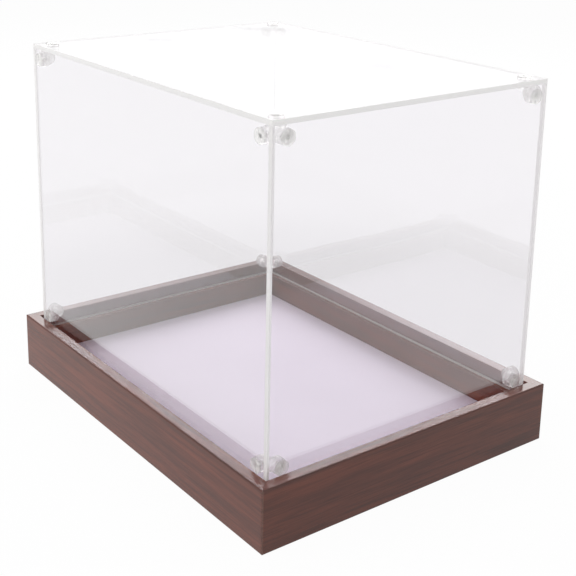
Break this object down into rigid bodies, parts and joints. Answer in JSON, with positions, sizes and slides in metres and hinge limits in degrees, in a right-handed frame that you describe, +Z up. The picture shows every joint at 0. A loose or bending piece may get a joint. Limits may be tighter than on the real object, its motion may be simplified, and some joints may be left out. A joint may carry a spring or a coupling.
{
  "type": "trophy display case",
  "caption": "Dark wood-look tray with a pale floor and a lift-off clear box cover held by corner connectors and screws, for showing a trophy.",
  "frame": {"origin": "centre of the tray's underside, on the surface that the case stands on", "axes": "+X along the long side, +Y along the short side towards the back, +Z up"},
  "size_m": [0.341, 0.262, 0.2793],
  "materials": {
    "rosewood_foil": "semi-gloss",
    "bare_wood": "sawn",
    "fibreboard": "raw",
    "screw_steel": "zinc plated",
    "lavender_lining": "satin",
    "clear_sheet": "polished clear",
    "clear_plastic": "moulded clear"
  },
  "bodies": {
    "tray": {"rail_front": "rosewood_foil", "rail_back": "rosewood_foil", "rail_left": "rosewood_foil", "rail_right": "rosewood_foil", "mitre_key_front_left": "bare_wood", "mitre_key_front_right": "bare_wood", "mitre_key_back_left": "bare_wood", "mitre_key_back_right": "bare_wood", "corner_block_front_left": "bare_wood", "corner_block_front_right": "bare_wood", "corner_block_back_left": "bare_wood", "corner_block_back_right": "bare_wood", "frame_screws": "screw_steel", "floor_board": "fibreboard", "floor_lining": "lavender_lining"},
    "cover": {"panel_front": "clear_sheet", "panel_back": "clear_sheet", "panel_left": "clear_sheet", "panel_right": "clear_sheet", "panel_top": "clear_sheet", "connector_foot_front_left": "clear_plastic", "connector_head_front_left": "clear_plastic", "connector_foot_front_right": "clear_plastic", "connector_head_front_right": "clear_plastic", "connector_foot_back_left": "clear_plastic", "connector_head_back_left": "clear_plastic", "connector_foot_back_right": "clear_plastic", "connector_head_back_right": "clear_plastic", "screws_foot_front_left": "clear_plastic", "screws_head_front_left": "clear_plastic", "screws_foot_front_right": "clear_plastic", "screws_head_front_right": "clear_plastic", "screws_foot_back_left": "clear_plastic", "screws_head_back_left": "clear_plastic", "screws_foot_back_right": "clear_plastic", "screws_head_back_right": "clear_plastic"}
  },
  "joints": [
    {"name": "cover_lift", "type": "slide", "parent": "tray", "child": "cover", "axis": [0, 0, 1], "range_m": [0, 0.25]}
  ]
}
